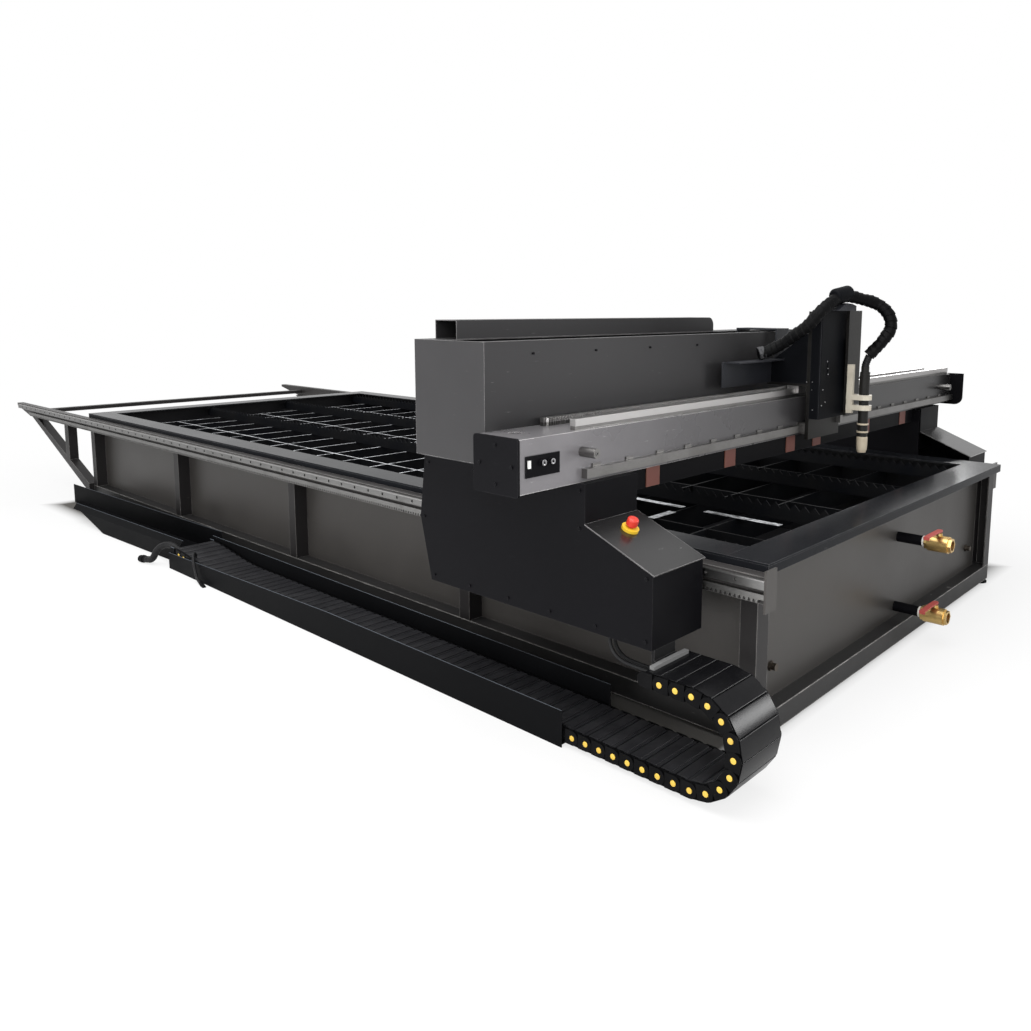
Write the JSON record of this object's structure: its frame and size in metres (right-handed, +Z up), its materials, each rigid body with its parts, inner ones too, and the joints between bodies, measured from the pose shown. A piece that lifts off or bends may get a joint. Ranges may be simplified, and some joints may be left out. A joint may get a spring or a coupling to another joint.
{
  "type": "cnc plasma table",
  "caption": "Water-pan plasma cutting table with rack-driven gantry, torch carriage and lifter, side cable chain, drain valves and side consoles.",
  "frame": {"origin": "Middle of the bounding box in plan, on the floor under the foot pads, at rest with the gantry near the drain end.", "axes": "+X runs along the table towards the drain end, +Y across it away from the cable chain, +Z up."},
  "size_m": [8.0233, 4.03, 1.6673],
  "materials": {
    "frame_paint": "warm dark grey metallic paint",
    "pan_paint": "warm grey metallic paint",
    "rim_paint": "pale glossy grey paint",
    "bed_steel": "black burnt steel",
    "rail_steel": "ground steel",
    "black_paint": "black powder coat",
    "chain_plastic": "black chain links",
    "brass": "cast brass",
    "lever_red": "red sleeve",
    "stop_yellow": "yellow ring",
    "stop_red": "red mushroom head",
    "switch_white": "white rocker",
    "tab_copper": "copper brown",
    "cable_rubber": "black jacket",
    "torch_cream": "cream moulding",
    "torch_dark": "dark torch tube",
    "lift_alloy": "anodised grey",
    "case_paint": "dark grey sheet"
  },
  "bodies": {
    "table": {"base_frame": "frame_paint", "leveling_feet": "black_paint", "side_posts": "frame_paint", "water_pan": "pan_paint", "top_rim": "rim_paint", "slat_combs": "bed_steel", "support_grid": "bed_steel", "rail_tubes": "frame_paint", "linear_rails": "rail_steel", "gear_racks": "rail_steel", "overhang_frame": "frame_paint", "chain_trough": "black_paint", "chain_lower_run": "chain_plastic", "drain_pipes": "black_paint", "valve_bodies": "brass", "pan_ports": "brass", "signal_lead": "cable_rubber", "lead_plug": "chain_plastic"},
    "upper_valve": {"upper_valve_lever": "lever_red"},
    "lower_valve": {"lower_valve_lever": "lever_red"},
    "gantry": {"gantry_beam": "frame_paint", "beam_end_plates": "black_paint", "gantry_legs": "black_paint", "near_cover": "black_paint", "far_cover": "black_paint", "console_lids": "frame_paint", "gantry_bearings": "rail_steel", "gantry_motors": "black_paint", "beam_rails": "rail_steel", "beam_rack": "rail_steel", "beam_bumpers": "rail_steel", "control_plate": "black_paint", "beam_skirt": "black_paint", "skirt_tabs": "tab_copper", "cable_case": "case_paint", "case_guard": "case_paint", "case_chain": "chain_plastic", "cover_screws": "black_paint", "estop_base": "stop_yellow", "chain_upper_run": "chain_plastic", "chain_hanger": "rail_steel", "feed_cables": "cable_rubber"},
    "chain_bend": {"chain_loop": "chain_plastic"},
    "near_drive": {"near_pinion": "rail_steel"},
    "far_drive": {"far_pinion": "rail_steel"},
    "stop_head": {"estop_button": "stop_red"},
    "rocker": {"rocker_switch": "switch_white"},
    "carriage": {"carriage_plate": "lift_alloy", "carriage_guides": "rail_steel", "carriage_hood": "black_paint", "column_cover": "black_paint", "carriage_motors": "black_paint", "cable_arm": "case_paint", "torch_hose": "cable_rubber"},
    "travel_drive": {"travel_pinion": "rail_steel"},
    "lift_drive": {"lift_screw": "rail_steel"},
    "torch": {"lift_plate": "lift_alloy", "torch_mount": "torch_cream", "torch_body": "torch_dark", "torch_nozzle": "torch_cream"}
  },
  "joints": [
    {"name": "gantry_slide", "type": "slide", "parent": "table", "child": "gantry", "axis": [1, 0, 0], "range_m": [-6.2, 0.1], "deforming": ["chain_lower_run", "chain_upper_run"]},
    {"name": "chain_bend_slide", "type": "slide", "parent": "gantry", "child": "chain_bend", "axis": [1, 0, 0], "range_m": [-0.051, 3.11]},
    {"name": "near_pinion_spin", "type": "hinge", "parent": "gantry", "child": "near_drive", "pos_m": [3.0503, -1.387, 0.5248], "axis": [0, 1, 0], "range_deg": [-111, 6583]},
    {"name": "far_pinion_spin", "type": "hinge", "parent": "gantry", "child": "far_drive", "pos_m": [3.0503, 1.387, 0.5248], "axis": [0, 1, 0], "range_deg": [-111, 6583]},
    {"name": "carriage_slide", "type": "slide", "parent": "gantry", "child": "carriage", "axis": [0, 1, 0], "range_m": [-1.5, 1.5], "deforming": ["case_chain"]},
    {"name": "travel_pinion_spin", "type": "hinge", "parent": "carriage", "child": "travel_drive", "pos_m": [3.1711, 0.025, 1.16], "axis": [0, 0, 1], "range_deg": [-2392, 2392]},
    {"name": "torch_lift", "type": "slide", "parent": "carriage", "child": "torch", "axis": [0, 0, 1], "range_m": [-0.16, 0.04], "deforming": ["torch_hose"]},
    {"name": "lift_screw_spin", "type": "hinge", "parent": "carriage", "child": "lift_drive", "pos_m": [3.3803, 0.12, 1.28], "axis": [0, 0, 1], "range_deg": [-5765, 1445]},
    {"name": "upper_valve_turn", "type": "hinge", "parent": "table", "child": "upper_valve", "pos_m": [3.9273, 0.1, 0.494], "axis": [0, 0, 1], "range_deg": [0, 90]},
    {"name": "lower_valve_turn", "type": "hinge", "parent": "table", "child": "lower_valve", "pos_m": [3.9273, 0.1, 0.151], "axis": [0, 0, 1], "range_deg": [0, 90]},
    {"name": "stop_push", "type": "slide", "parent": "gantry", "child": "stop_head", "axis": [-0.3719, 0, -0.9283], "range_m": [0, 0.006], "stiffness_N_per_m": 1500, "springref_m": -0.002},
    {"name": "rocker_tilt", "type": "hinge", "parent": "gantry", "child": "rocker", "pos_m": [3.3043, -1.961, 1.061], "axis": [0, 1, 0], "range_deg": [0, 12]}
  ],
  "couplings": [
    {"joint": "chain_bend_slide", "follows": "gantry_slide", "ratio": -0.5},
    {"joint": "near_pinion_spin", "follows": "gantry_slide", "rad_per_m": -18.519},
    {"joint": "far_pinion_spin", "follows": "gantry_slide", "rad_per_m": -18.519},
    {"joint": "travel_pinion_spin", "follows": "carriage_slide", "rad_per_m": 27.778},
    {"joint": "lift_screw_spin", "follows": "torch_lift", "rad_per_m": 628.32}
  ]
}
